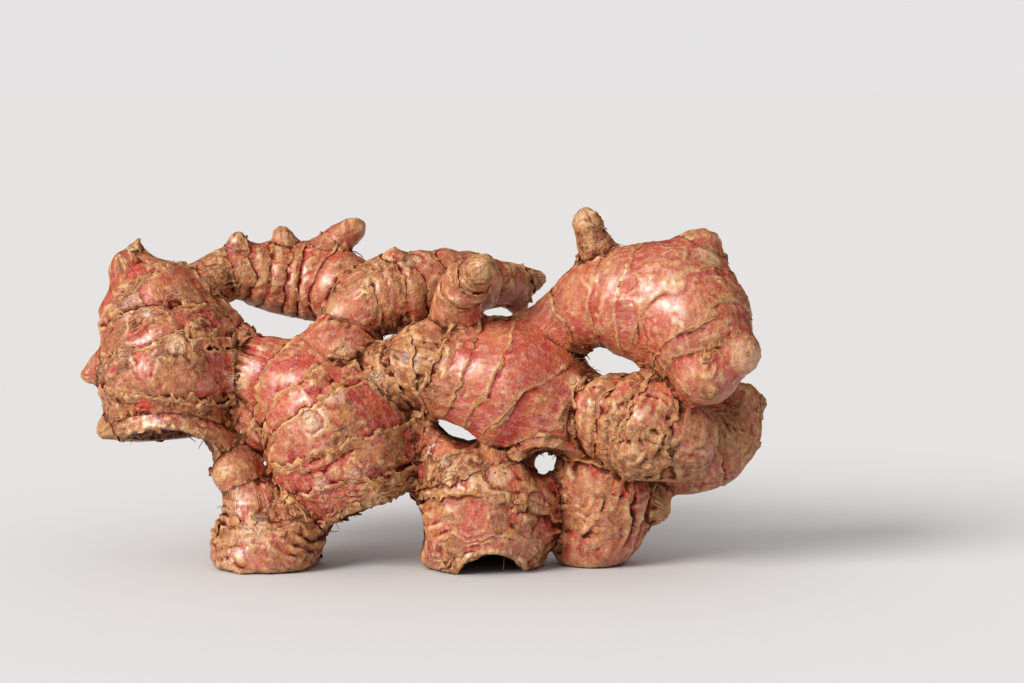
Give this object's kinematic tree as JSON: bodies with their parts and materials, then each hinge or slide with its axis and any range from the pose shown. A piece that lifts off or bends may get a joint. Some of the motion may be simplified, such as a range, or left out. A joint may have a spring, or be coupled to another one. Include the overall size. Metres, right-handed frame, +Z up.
{
  "type": "red ginger root",
  "caption": "Fresh branching ginger rhizome with ringed fingers, bud scars and broken hollow ends, standing on its lower knobs.",
  "frame": {"origin": "centre of the bounding box at its base, on the surface that the rhizome stands on", "axes": "+X along the rhizome's length towards the thick bent finger, +Y away from the side that the picture shows, +Z up"},
  "size_m": [0.1266, 0.0502, 0.0659],
  "materials": {
    "ginger_skin": "moist pink-red skin over tan corky rings"
  },
  "bodies": {
    "root": {"rhizome": "ginger_skin"}
  },
  "joints": []
}
